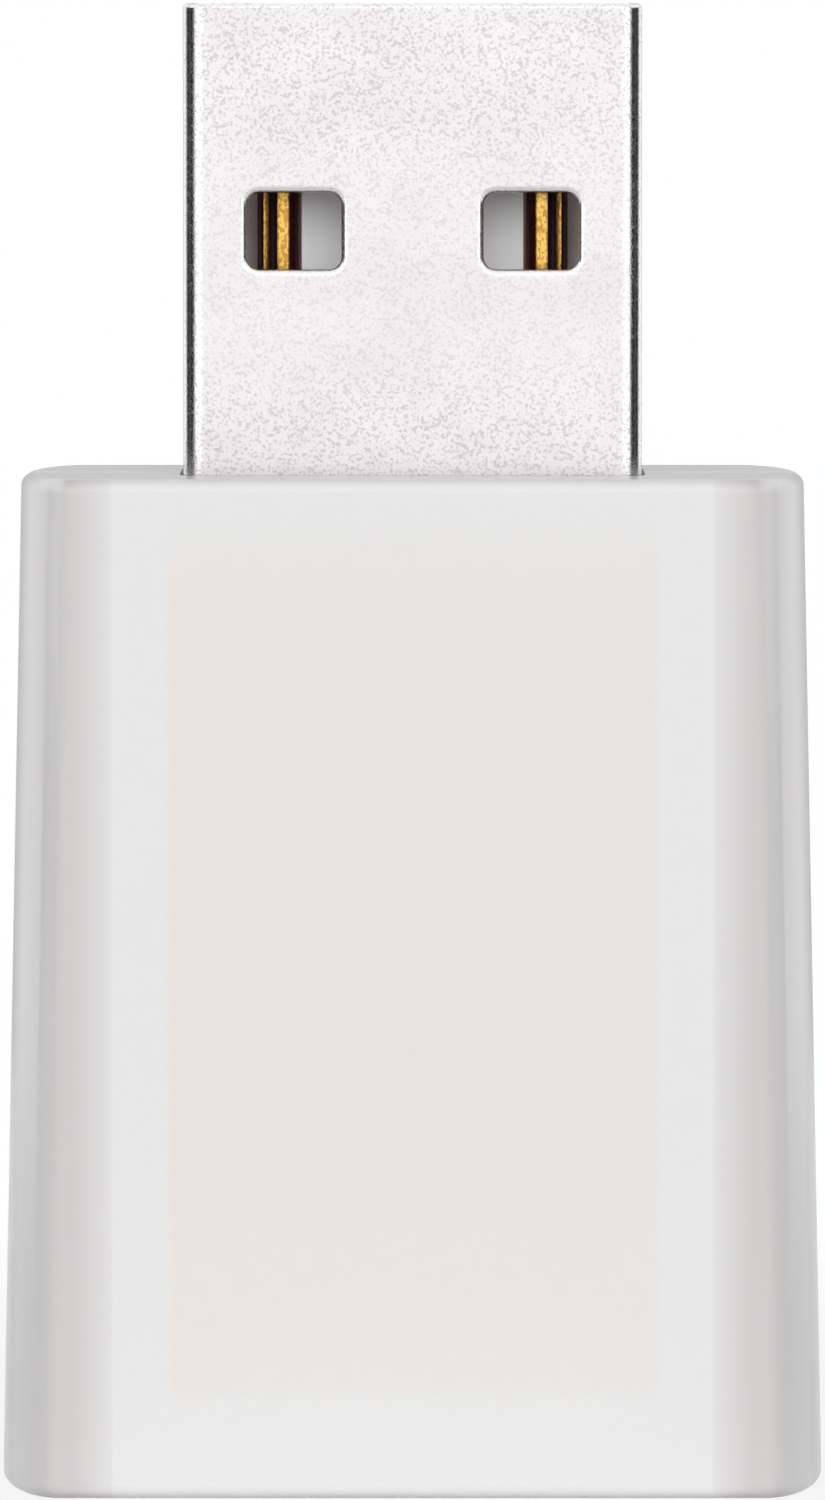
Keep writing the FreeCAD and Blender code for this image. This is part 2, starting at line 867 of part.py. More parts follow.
def plug_solder():
    """The joints of the two legs, and a fillet at each contact's toe."""
    joints = both_sides(leg_solder())
    for offset, top in contact_places().values():
        left = offset - contact_width / 2
        corners = [
            point(left, board_front, tail_bottom),
            point(left, board_front, tail_bottom - toe_solder_reach),
            point(left, board_front - contact_thickness, tail_bottom),
        ]
        joints.append(wedge(corners, point(contact_width, 0, 0)))
    return Part.makeCompound(joints)


# Every piece by name

def pieces():
    named = {
        "front_cover": front_cover(),
        "rear_cover": rear_cover(),
        "plug_shell": plug_shell(),
        "plug_insulator": plug_insulator(),
        "main_board": main_board(),
        "module_board": module_board(),
        "radio_chip": radio_chip(),
        "crystal": crystal(),
        "module_capacitors": module_capacitors(),
        "antenna_inductor": antenna_inductor(),
        "antenna_trace": antenna_trace(),
        "shield_can": shield_can(),
        "module_solder": module_solder(),
        "plug_solder": plug_solder(),
    }
    for name, (offset, top) in contact_places().items():
        named[name] = contact(offset, top)
    named.update(power_row())
    return named


os.makedirs("parts", exist_ok=True)
for name, shape in pieces().items():
    shape.exportStep(f"parts/{name}.step")
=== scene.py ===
import json
import math

import bmesh
import bpy
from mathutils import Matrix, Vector


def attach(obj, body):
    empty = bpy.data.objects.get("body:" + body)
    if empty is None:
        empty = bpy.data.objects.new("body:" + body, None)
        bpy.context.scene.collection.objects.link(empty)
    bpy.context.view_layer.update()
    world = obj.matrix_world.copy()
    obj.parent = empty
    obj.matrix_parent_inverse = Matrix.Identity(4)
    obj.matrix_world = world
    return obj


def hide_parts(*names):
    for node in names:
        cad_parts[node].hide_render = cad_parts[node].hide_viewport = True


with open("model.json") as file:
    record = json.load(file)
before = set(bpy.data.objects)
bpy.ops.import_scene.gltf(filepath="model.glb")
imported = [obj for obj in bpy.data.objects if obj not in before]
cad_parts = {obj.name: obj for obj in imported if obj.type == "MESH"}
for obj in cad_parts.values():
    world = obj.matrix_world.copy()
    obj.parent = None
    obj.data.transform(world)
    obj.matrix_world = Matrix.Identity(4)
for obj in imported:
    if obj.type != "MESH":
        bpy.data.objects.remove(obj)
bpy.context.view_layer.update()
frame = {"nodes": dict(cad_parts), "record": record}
nodes = frame["nodes"]
print("frame loaded,", len(nodes), "nodes")

mm = 0.001


# Node helpers

def addNode(tree, kind, sockets=None, **settings):
    node = tree.nodes.new(kind)
    for name, value in settings.items():
        setattr(node, name, value)
    for name, value in (sockets or {}).items():
        if isinstance(value, bpy.types.NodeSocket):
            tree.links.new(value, node.inputs[name])
        else:
            node.inputs[name].default_value = value
    return node


def maths(tree, operation, first, second=0.0, third=0.0):
    return addNode(tree, "ShaderNodeMath", {0: first, 1: second, 2: third}, operation=operation).outputs[0]


def multiply(tree, first, *others):
    for other in others:
        first = maths(tree, "MULTIPLY", first, other)
    return first


def highest(tree, first, *others):
    for other in others:
        first = maths(tree, "MAXIMUM", first, other)
    return first


def absolute(tree, value):
    return maths(tree, "ABSOLUTE", value)


def fitRange(tree, value, low, high, newLow=0.0, newHigh=1.0, curve="SMOOTHSTEP"):
    sockets = {"Value": value, "From Min": low, "From Max": high, "To Min": newLow, "To Max": newHigh}
    return addNode(tree, "ShaderNodeMapRange", sockets, interpolation_type=curve).outputs["Result"]


def mixColour(tree, factor, first, second):
    node = addNode(tree, "ShaderNodeMix", data_type="RGBA")
    for index, value in ((0, factor), (6, first), (7, second)):
        if isinstance(value, bpy.types.NodeSocket):
            tree.links.new(value, node.inputs[index])
        else:
            node.inputs[index].default_value = value if index == 0 else (*value, 1.0)
    return node.outputs[2]


def mixValue(tree, factor, first, second):
    return addNode(tree, "ShaderNodeMix", {0: factor, 2: first, 3: second}, data_type="FLOAT").outputs[0]


def noise(tree, place, scale, **sockets):
    return addNode(tree, "ShaderNodeTexNoise", {"Vector": place, "Scale": scale, **sockets}).outputs["Fac"]


def objectPlace(tree):
    return addNode(tree, "ShaderNodeTexCoord").outputs["Object"]


def millimetres(tree, axis):
    place = addNode(tree, "ShaderNodeSeparateXYZ", {0: objectPlace(tree)}).outputs[axis]
    return maths(tree, "DIVIDE", place, mm)


def normalAxis(tree, axis):
    normal = addNode(tree, "ShaderNodeNewGeometry").outputs["Normal"]
    return addNode(tree, "ShaderNodeSeparateXYZ", {0: normal}).outputs[axis]


def newGroup(name, inputs, outputs):
    group = bpy.data.node_groups.new(name, "ShaderNodeTree")
    for label, value in inputs:
        socket = group.interface.new_socket(label, in_out="INPUT", socket_type="NodeSocketFloat")
        socket.default_value = value
    for label in outputs:
        group.interface.new_socket(label, in_out="OUTPUT", socket_type="NodeSocketFloat")
    return group, addNode(group, "NodeGroupInput").outputs, addNode(group, "NodeGroupOutput").inputs


def useGroup(tree, group, **values):
    node = tree.nodes.new("ShaderNodeGroup")
    node.node_tree = group
    for name, value in values.items():
        node.inputs[name].default_value = value
    return node.outputs


# Effects that several materials share

fineGrain = {
    "detail": 3.0, "roughness": 0.6,
    "speckScale": 0.63, "speckDetail": 3.0,          # the scale is a share of the grain's own
    "speckEdge": 0.72, "speckReach": 0.4,            # noise level that gives no specks, and its fall
    "speckFade": 0.12,
    "driftScale": 0.03, "driftDetail": 2.0, "driftRange": (0.3, 0.7),
}


def buildGrain(look):
    inputs = [
        ("Size", 0.1),                               # millimetres
        ("Stretch", 1.0),                            # above 1 draws the grain out along the plug
        ("Specks", 0.5),                             # share of the surface that the specks take
    ]
    group, given, result = newGroup("fineGrain", inputs, ["Height", "Specks", "Drift"])
    place = objectPlace(group)
    squeezed = {"X": 1.0, "Y": 1.0, "Z": maths(group, "DIVIDE", 1.0, given["Stretch"])}
    squeeze = addNode(group, "ShaderNodeCombineXYZ", squeezed).outputs[0]
    drawn = addNode(group, "ShaderNodeVectorMath", {0: place, 1: squeeze}, operation="MULTIPLY").outputs[0]
    scale = maths(group, "DIVIDE", 1 / mm, given["Size"])
    fine = noise(group, drawn, scale, Detail=look["detail"], Roughness=look["roughness"])
    group.links.new(fine, result["Height"])
    coarse = noise(group, drawn, multiply(group, scale, look["speckScale"]), Detail=look["speckDetail"])
    edge = maths(group, "SUBTRACT", look["speckEdge"], multiply(group, given["Specks"], look["speckReach"]))
    specks = fitRange(group, coarse, edge, maths(group, "ADD", edge, look["speckFade"]))
    group.links.new(specks, result["Specks"])
    wide = noise(group, place, multiply(group, scale, look["driftScale"]), Detail=look["driftDetail"])
    group.links.new(fitRange(group, wide, *look["driftRange"]), result["Drift"])
    return group


edgeWear = {
    "samples": 4, "turnRange": (0.995, 0.90),        # how far a rounded edge turns off the face
    "patchScale": 2500.0, "patchDetail": 3.0, "patchRange": (0.35, 0.6),
}


def buildEdgeWear(look):
    inputs = [("Width", 0.1), ("Breakup", 0.5)]      # the width is in millimetres
    group, given, result = newGroup("edgeWear", inputs, ["Mask"])
    radius = multiply(group, given["Width"], mm)
    rounded = addNode(group, "ShaderNodeBevel", {"Radius": radius}, samples=look["samples"]).outputs[0]
    normal = addNode(group, "ShaderNodeNewGeometry").outputs["Normal"]
    turn = addNode(group, "ShaderNodeVectorMath", {0: rounded, 1: normal}, operation="DOT_PRODUCT")
    worn = fitRange(group, turn.outputs["Value"], *look["turnRange"])
    patchy = noise(group, objectPlace(group), look["patchScale"], Detail=look["patchDetail"])
    broken = multiply(group, given["Breakup"], fitRange(group, patchy, *look["patchRange"]))
    kept = maths(group, "SUBTRACT", 1.0, broken)
    group.links.new(multiply(group, worn, kept), result["Mask"])
    return group


handlingMarks = {"detail": 4.0, "distortion": 1.2, "range": (0.38, 0.68)}


def buildHandling(look):
    group, given, result = newGroup("handlingMarks", [("Size", 6.0)], ["Smudge"])   # millimetres
    scale = maths(group, "DIVIDE", 1 / mm, given["Size"])
    smudge = noise(group, objectPlace(group), scale, Detail=look["detail"], Distortion=look["distortion"])
    group.links.new(fitRange(group, smudge, *look["range"]), result["Smudge"])
    return group


# an occlusion mask of narrow hollows; on the contacts it carries painted shade
crevices = {"samples": 4, "openRange": (0.8, 0.35)}


def buildCrevices(look):
    group, given, result = newGroup("crevices", [("Reach", 0.15)], ["Mask"])        # millimetres
    reach = multiply(group, given["Reach"], mm)
    openness = addNode(group, "ShaderNodeAmbientOcclusion", {"Distance": reach}, samples=look["samples"])
    group.links.new(fitRange(group, openness.outputs["AO"], *look["openRange"]), result["Mask"])
    return group


grainGroup = buildGrain(fineGrain)
wearGroup = buildEdgeWear(edgeWear)
creviceGroup = buildCrevices(crevices)
handlingGroup = buildHandling(handlingMarks)
print("shared effects built")


# Materials for every finish in the record

def startMaterial(name):
    material = bpy.data.materials.new(name)
    material.use_nodes = True
    return material, material.node_tree, material.node_tree.nodes["Principled BSDF"]


def setSockets(shader, values):
    for name, value in values.items():
        shader.inputs[name].default_value = value


def addPaintedShadeAndTint(tree, colour, tones):
    # painted shade beside the front's flat middle, a painted light strip along the upper sides,
    # painted shade along the lower sides, and a warm tint over the middle itself
    across = absolute(tree, millimetres(tree, "X"))
    up = millimetres(tree, "Z")
    frontward = normalAxis(tree, "Y")
    sideHalf = maths(tree, "SUBTRACT", tones["sideHalf"], multiply(tree, up, tones["sideTaper"]))
    inward = maths(tree, "SUBTRACT", sideHalf, across)
    ahead = fitRange(tree, frontward, *tones["aheadNormal"])
    low = fitRange(tree, up, *tones["lowPart"])
    highEnd, lowEnd = tones["shadeEnds"]
    shadeEnd = maths(tree, "MULTIPLY_ADD", low, lowEnd - highEnd, highEnd)
    # painted shade beside the flat middle, on faces turned to the front
    shade = multiply(
        tree,
        fitRange(tree, across, *tones["shadeRise"], "LINEAR"),
        fitRange(tree, across, *tones["shadeStart"]),
        fitRange(tree, inward, shadeEnd, tones["shadeFade"]),
        ahead,
    )
    colour = mixColour(tree, shade, colour, tones["shade"])
    # painted light: a lighter strip along the upper sides
    pale = multiply(
        tree,
        highest(tree, fitRange(tree, up, *tones["paintedLightTop"]), fitRange(tree, inward, *tones["paintedLightRim"])),
        fitRange(tree, inward, *tones["paintedLightStart"]),
        fitRange(tree, inward, *tones["paintedLightEnd"]),
        maths(tree, "SUBTRACT", 1.0, low),
        ahead,
    )
    colour = mixColour(tree, pale, colour, tones["pale"])
    # painted shade: darker along the lower sides
    dull = multiply(tree, low, fitRange(tree, inward, *tones["paintedLowShadeInward"]), ahead)
    colour = mixColour(tree, dull, colour, tones["dull"])
    warm = multiply(
        tree,
        fitRange(tree, across, *tones["warmAcross"]),
        fitRange(tree, up, *tones["warmLow"]),
        fitRange(tree, up, *tones["warmHigh"]),
        fitRange(tree, frontward, *tones["flatNormal"]),
    )
    return mixColour(tree, warm, colour, tones["warm"])


def addTonguePaintedShade(tree, colour, tones):
    # the tongue's face: painted shade on its lowered sides, and a painted shadow in the narrow gap round
    # each contact
    across = absolute(tree, millimetres(tree, "X"))
    up = millimetres(tree, "Z")
    ahead = fitRange(tree, normalAxis(tree, "Y"), *tones["aheadNormal"])
    # painted shade on the lowered sides
    paintedRecessShade = multiply(tree, ahead, fitRange(tree, across, *tones["paintedRecessAcross"]))
    colour = mixColour(tree, paintedRecessShade, colour, tones["paintedRecessShade"])
    # painted shadow in the narrow gap round each contact
    distances = [absolute(tree, maths(tree, "SUBTRACT", across, offset)) for offset in tones["gapShadowOffsets"]]
    gap = multiply(
        tree,
        fitRange(tree, maths(tree, "MINIMUM", *distances), *tones["gapShadowHalf"]),
        fitRange(tree, up, *tones["gapShadowTop"]),
        ahead,
    )
    return mixColour(tree, gap, colour, tones["gap"])


plainFinish = {                                      # where a finish doesn't say otherwise
    "stretch": 1.0, "specks": 0.4, "speckDepth": 0.2, "speckRough": 0.05,
    "smudge": 6.0, "smudgeRough": 0.06,
    "edge": 0.06, "breakup": 0.5, "wear": 0.2,
    "bump": 0.2, "bumpShare": 0.15,                  # the bump's depth is a share of the grain's size
    "flatNormal": (0.97, 0.999), "flankReflectionNormal": (0.42, 0.58),
    "fixed": {},                                     # values set on the shader's own sockets
}


def makeFinish(name, look):
    look = {**plainFinish, "speckColour": look["drift"], "wearColour": look["colour"], **look}
    material, tree, shader = startMaterial(name)
    setSockets(shader, look["fixed"])
    grain = useGroup(tree, grainGroup, Size=look["grain"], Stretch=look["stretch"], Specks=look["specks"])
    marks = useGroup(tree, handlingGroup, Size=look["smudge"])
    wear = useGroup(tree, wearGroup, Width=look["edge"], Breakup=look["breakup"])
    colour = mixColour(tree, grain["Drift"], look["colour"], look["drift"])
    speckShare = multiply(tree, grain["Specks"], look["speckDepth"])
    if "calmBand" in look:                           # fainter specks round one height, in millimetres
        height, near, far, least = look["calmBand"]
        away = absolute(tree, maths(tree, "SUBTRACT", millimetres(tree, "Z"), height))
        speckShare = multiply(tree, speckShare, fitRange(tree, away, near, far, least, 1.0))
    colour = mixColour(tree, speckShare, colour, look["speckColour"])
    colour = mixColour(tree, multiply(tree, wear["Mask"], look["wear"]), colour, look["wearColour"])
    if "tones" in look:
        colour = addPaintedShadeAndTint(tree, colour, look["tones"])
    if "tonguePaintedShade" in look:
        colour = addTonguePaintedShade(tree, colour, look["tonguePaintedShade"])
    if "flank" in look:                              # painted reflection: darker steep flanks of a formed strip, for the dark inside that they face
        flankReflectionMask = fitRange(tree, absolute(tree, normalAxis(tree, "X")), *look["flankReflectionNormal"])
        colour = mixColour(tree, flankReflectionMask, colour, look["flank"])
    if "crevice" in look:                            # darker in the crevices, and not metal there: painted shade in the contacts' valleys, a brown on the solder
        creviceDark = useGroup(tree, creviceGroup, Reach=look["creviceReach"])["Mask"]
        colour = mixColour(tree, creviceDark, colour, look["crevice"])
        tree.links.new(maths(tree, "SUBTRACT", 1.0, creviceDark), shader.inputs["Metallic"])
    tree.links.new(colour, shader.inputs["Base Color"])
    rough = maths(tree, "MULTIPLY_ADD", marks["Smudge"], look["smudgeRough"], look["rough"])
    rough = maths(tree, "MULTIPLY_ADD", grain["Specks"], look["speckRough"], rough)
    if "flatRough" in look:                          # the flats are blasted, the folds burnished
        flat = fitRange(tree, absolute(tree, normalAxis(tree, "Y")), *look["flatNormal"])
        rough = maths(tree, "MULTIPLY_ADD", flat, look["flatRough"], rough)
    tree.links.new(rough, shader.inputs["Roughness"])
    depth = look["grain"] * look["bumpShare"] * mm
    bumped = {"Height": grain["Height"], "Strength": look["bump"], "Distance": depth}
    tree.links.new(addNode(tree, "ShaderNodeBump", bumped).outputs[0], shader.inputs["Normal"])
    return material


# Sizes and places are in millimetres
finishes = {
    "housing_white": {
        "colour": (0.84, 0.84, 0.84), "drift": (0.838, 0.838, 0.837), "grain": 0.35, "rough": 0.255,
        "specks": 0.0, "speckDepth": 0.0, "speckRough": 0.0, "bump": 0.05,
        "smudge": 16.0, "smudgeRough": 0.01, "wear": 0.1,
        # painted shade beside the flat middle and along the lower sides, painted light along the upper
        # sides, and a warm tint over the middle
        "tones": {                                   # inward is measured in from the nearer side
            "sideHalf": 10.815, "sideTaper": 0.0199, "lowPart": (14.0, 4.0),
            "aheadNormal": (-0.05, -0.3), "flatNormal": (-0.9, -0.99),
            "shade": (0.665, 0.635, 0.637), "shadeRise": (7.78, 8.85, 0.2, 1.0), "shadeStart": (7.78, 7.9),
            "shadeEnds": (0.85, 0.6), "shadeFade": 1.4,
            "pale": (0.96, 0.935, 0.945), "paintedLightTop": (16.0, 25.0, 0.1, 0.7), "paintedLightRim": (0.86, 0.78),
            "paintedLightStart": (0.0, 0.2), "paintedLightEnd": (1.35, 0.95),
            "dull": (0.62, 0.62, 0.62), "paintedLowShadeInward": (0.42, 0.1),
            "warm": (0.845, 0.81, 0.785), "warmAcross": (6.5, 6.2),
            "warmLow": (2.5, 3.0), "warmHigh": (26.0, 23.6),
        },
        "fixed": {"IOR": 1.49, "Subsurface Weight": 0.06, "Subsurface Scale": 0.0006},
    },
    "plug_steel": {
        "colour": (0.69, 0.672, 0.678), "drift": (0.66, 0.64, 0.645), "grain": 0.05, "bump": 0.6,
        "rough": 0.13, "flatRough": 0.2,
        "specks": 0.55, "speckDepth": 0.46, "speckColour": (0.38, 0.36, 0.365), "speckRough": 0.12,
        "calmBand": (32.0, 1.5, 4.5, 0.48),
        "fixed": {"Metallic": 1.0},
    },
    "insulator_white": {
        "colour": (0.87, 0.87, 0.87), "drift": (0.83, 0.83, 0.83), "grain": 0.12, "rough": 0.5, "bump": 0.3,
        # painted shade on the tongue's lowered sides and a painted shadow in the gap round each contact
        "tonguePaintedShade": {
            "aheadNormal": (-0.7, -0.9),
            "paintedRecessShade": (0.60, 0.55, 0.53), "paintedRecessAcross": (3.96, 4.02),
            "gap": (0.09, 0.03, 0.028), "gapShadowOffsets": (3.5, 1.0), "gapShadowHalf": (0.61, 0.57),
            "gapShadowTop": (36.15, 36.05),
        },
    },
    "contact_gold": {
        "colour": (0.74, 0.46, 0.115), "drift": (0.64, 0.37, 0.08), "grain": 0.05, "stretch": 1.6,
        "rough": 0.16, "bump": 1.0,
        "specks": 0.64, "speckColour": (0.30, 0.135, 0.03), "speckDepth": 0.62,
        # the flank colour is a painted dark reflection on the steep flanks, the crevice colour painted
        # shade in the valleys
        "flank": (0.13, 0.035, 0.03), "crevice": (0.045, 0.034, 0.042), "creviceReach": 0.45,
        "fixed": {"Metallic": 1.0},
    },
    "board_laminate": {
        "colour": (0.02, 0.15, 0.07), "drift": (0.015, 0.11, 0.05), "grain": 0.2, "rough": 0.35,
        "wear": 0.6, "wearColour": (0.45, 0.40, 0.24),
    },
    "module_laminate": {
        "colour": (0.015, 0.03, 0.10), "drift": (0.01, 0.02, 0.07), "grain": 0.2, "rough": 0.32,
        "wear": 0.6, "wearColour": (0.45, 0.40, 0.24),
    },
    "chip_resin": {
        "colour": (0.022, 0.022, 0.024), "drift": (0.03, 0.03, 0.032), "grain": 0.06, "rough": 0.55,
        "bump": 0.5,
    },
    "chip_ceramic": {
        "colour": (0.42, 0.29, 0.18), "drift": (0.36, 0.24, 0.15), "grain": 0.08, "rough": 0.45,
        "bump": 0.3,
    },
    "fuse_resin": {
        "colour": (0.06, 0.20, 0.08), "drift": (0.05, 0.16, 0.06), "grain": 0.08, "rough": 0.4,
    },
    "resistor_ceramic": {
        "colour": (0.03, 0.03, 0.035), "drift": (0.04, 0.04, 0.045), "grain": 0.08, "rough": 0.4,
    },
    "led_resin": {
        "colour": (0.86, 0.84, 0.62), "drift": (0.80, 0.78, 0.55), "grain": 0.2, "rough": 0.12,
        "bump": 0.05,
        "fixed": {"IOR": 1.53, "Subsurface Weight": 0.3, "Subsurface Scale": 0.0005},
    },
    "crystal_metal": {
        "colour": (0.75, 0.72, 0.65), "drift": (0.68, 0.66, 0.60), "grain": 0.08, "stretch": 4.0,
        "rough": 0.3,
        "fixed": {"Metallic": 1.0},
    },
    "shield_metal": {
        "colour": (0.70, 0.70, 0.69), "drift": (0.62, 0.62, 0.61), "grain": 0.1, "stretch": 5.0,
        "rough": 0.34,
        "fixed": {"Metallic": 1.0},
    },
    "trace_copper": {
        "colour": (0.88, 0.62, 0.28), "drift": (0.80, 0.52, 0.22), "grain": 0.06, "rough": 0.28,
        "fixed": {"Metallic": 1.0},
    },
    "solder": {
        "colour": (0.72, 0.72, 0.73), "drift": (0.62, 0.62, 0.63), "grain": 0.09, "rough": 0.3,
        "bump": 0.6,
        "crevice": (0.20, 0.15, 0.09), "creviceReach": 0.15,
        "fixed": {"Metallic": 1.0},
    },
}
materials = {slot: makeFinish(slot, look) for slot, look in finishes.items()}

for subpart in frame["record"]["subparts"]:
    cadObject = nodes[subpart["node"]]
    for materialSlot in cadObject.material_slots:
        materialSlot.link = "OBJECT"
        materialSlot.material = materials[subpart["material_slot"]]
print("materials built and given to the nodes")


# Mesh helpers. Sizes in the pieces' dictionaries are millimetres.

weldDistance = 1e-8                                  # metres


def roundedOutline(width, height, radius, steps):
    points = []
    for sideX, sideY, start in ((1, 1, 0), (-1, 1, 90), (-1, -1, 180), (1, -1, 270)):
        for step in range(steps + 1):
            angle = math.radians(start + 90 * step / steps)
            across = sideX * (width / 2 - radius) + radius * math.cos(angle)
            up = sideY * (height / 2 - radius) + radius * math.sin(angle)
            points.append((across, up))
    return points


def rollSteps(radius, steps):                        # (inset, depth) along a rounded edge, face first
    angles = [math.radians(90 * step / steps) for step in range(steps + 1)]
    return [(radius * math.sin(angle), radius * (1 - math.cos(angle))) for angle in angles]


def addLoop(shape, points):
    return [shape.verts.new(Vector(point) * mm) for point in points]


def joinLoops(shape, first, second, closed=True):
    count = len(first)
    for index in range(count if closed else count - 1):
        after = (index + 1) % count
        shape.faces.new((first[index], first[after], second[after], second[index]))


def fillLoops(shape, loops):
    edges = []
    for loop in loops:
        for index, corner in enumerate(loop):
            after = loop[(index + 1) % len(loop)]
            edges.append(shape.edges.get((corner, after)) or shape.edges.new((corner, after)))
    bmesh.ops.triangle_fill(shape, use_beauty=True, use_dissolve=False, edges=edges)


def boxMesh(shape, low, high):
    around = ((low[0], low[1]), (high[0], low[1]), (high[0], high[1]), (low[0], high[1]))
    bottom = addLoop(shape, [(x, y, low[2]) for x, y in around])
    top = addLoop(shape, [(x, y, high[2]) for x, y in around])
    joinLoops(shape, bottom, top)
    shape.faces.new(bottom)
    shape.faces.new(top)


def makePiece(name, shape, slot, sharpAngle=35):
    bmesh.ops.remove_doubles(shape, verts=shape.verts, dist=weldDistance)
    bmesh.ops.recalc_face_normals(shape, faces=shape.faces)
    mesh = bpy.data.meshes.new(name)
    shape.to_mesh(mesh)
    shape.free()
    mesh.materials.append(materials[slot])
    mesh.shade_smooth()
    mesh.set_sharp_from_angle(angle=math.radians(sharpAngle))
    piece = bpy.data.objects.new(name, mesh)
    bpy.context.scene.collection.objects.link(piece)
    return piece


def cutWith(piece, operation, shape):
    bmesh.ops.recalc_face_normals(shape, faces=shape.faces)
    mesh = bpy.data.meshes.new("cutter")
    shape.to_mesh(mesh)
    shape.free()
    cutter = bpy.data.objects.new("cutter", mesh)
    bpy.context.scene.collection.objects.link(cutter)
    step = piece.modifiers.new("cut", "BOOLEAN")
    step.operation = operation
    step.solver = "EXACT"
    step.object = cutter
    bpy.context.view_layer.update()
    result = bpy.data.meshes.new_from_object(piece.evaluated_get(bpy.context.evaluated_depsgraph_get()))
    piece.modifiers.clear()
    piece.data = result
    bpy.data.objects.remove(cutter)


def evenShading(piece):
    step = piece.modifiers.new("evenShading", "WEIGHTED_NORMAL")
    step.keep_sharp = True
    step.weight = 100                                # the large faces alone set the shading


# Plug shell: one folded sheet, closed by dovetails in the rear wall

plugShell = {
    "width": 12.0, "thickness": 4.5, "bottom": 20.4, "top": 38.95,
    "sheet": 0.3, "cornerRadius": 0.6, "cornerSteps": 8,
    "margin": 0.04,                                  # narrow faces that keep the flats shading flat
    "tipRoll": 0.09, "rollSteps": 4,
    "windowWidth": 2.46, "windowHeight": 2.0, "windowRadius": 0.32,
    "windowOffset": 3.09, "windowDrop": 4.91, "windowRoll": 0.18, "windowSteps": 6,
    "slit": 0.05, "slitEase": 0.05,                  # the ease widens the slit at the outer face
    "keyWidth": 1.1, "keyRoot": 1.3, "keyHead": 1.9, "keyHeights": (3.6, 13.2),
    "legLow": 1.6, "legWidth": 1.5, "legEnd": 3.25, "legRelief": 0.2,
    "notchPast": 1.0,                                # how far a notch's cutter stands out of the sheet
}


def windowLoops(shape, look, side, wallSide):
    middleX = side * look["windowOffset"]
    middleZ = look["top"] - look["windowDrop"] - look["windowHeight"] / 2
    face = wallSide * look["thickness"] / 2
    roll = look["windowRoll"]
    levels = [(roll + look["margin"], 0.0)]
    levels += [(roll - inset, depth) for inset, depth in rollSteps(roll, look["rollSteps"])]
    levels.append((0.0, look["sheet"]))
    loops = []
    for grow, depth in levels:
        outline = roundedOutline(look["windowWidth"] + 2 * grow, look["windowHeight"] + 2 * grow,
                                 look["windowRadius"] + grow, look["windowSteps"])
        points = [(middleX + x, face - wallSide * depth, middleZ + z) for x, z in outline]
        loops.append(addLoop(shape, points))
    for first, second in zip(loops, loops[1:]):
        joinLoops(shape, first, second)
    return loops[0], loops[-1]


def seamRoute(look, side, gap):
    # the joint's edge from the bottom to the top, on one side of the slit: a dovetail has a
    # narrow root at the middle of the wall and a wide head, and the gap is the same all round
    root, head, reach = look["keyRoot"] / 2, look["keyHead"] / 2, look["keyWidth"]
    lean = (head - root) / reach
    ease = gap * math.hypot(1, lean)
    route = [(side * gap, look["bottom"])]
    for height in look["keyHeights"]:
        middle = look["bottom"] + height
        nearHalf = root + side * (gap * lean - ease)
        farHalf = head + side * (gap * lean - ease)
        for x, half in ((0, -nearHalf), (reach, -farHalf), (reach, farHalf), (0, nearHalf)):
            route.append((x + side * gap, middle + half))
    route.append((side * gap, look["top"]))
    return route


def shellRing(shape, look, inset, gap, height):
    # open outline round the tube at one height, from one side of the slit to the other, with a
    # narrow margin on each flat so that the flat shades as a flat
    face = look["thickness"] / 2 - inset
    radius = look["cornerRadius"] - inset
    outline = roundedOutline(look["width"] - 2 * inset, 2 * face, radius, look["cornerSteps"])
    count = look["cornerSteps"] + 1
    ring = [(-gap, face)]
    for first, marginLast in ((count, False), (2 * count, True), (3 * count, False), (0, True)):
        part = outline[first:first + count]
        x, y = part[-1] if marginLast else part[0]
        margin = [(x + math.copysign(look["margin"], -x), y)]
        ring += part + margin if marginLast else margin + part
    ring.append((gap, face))
    return addLoop(shape, [(x, y, height) for x, y in ring])


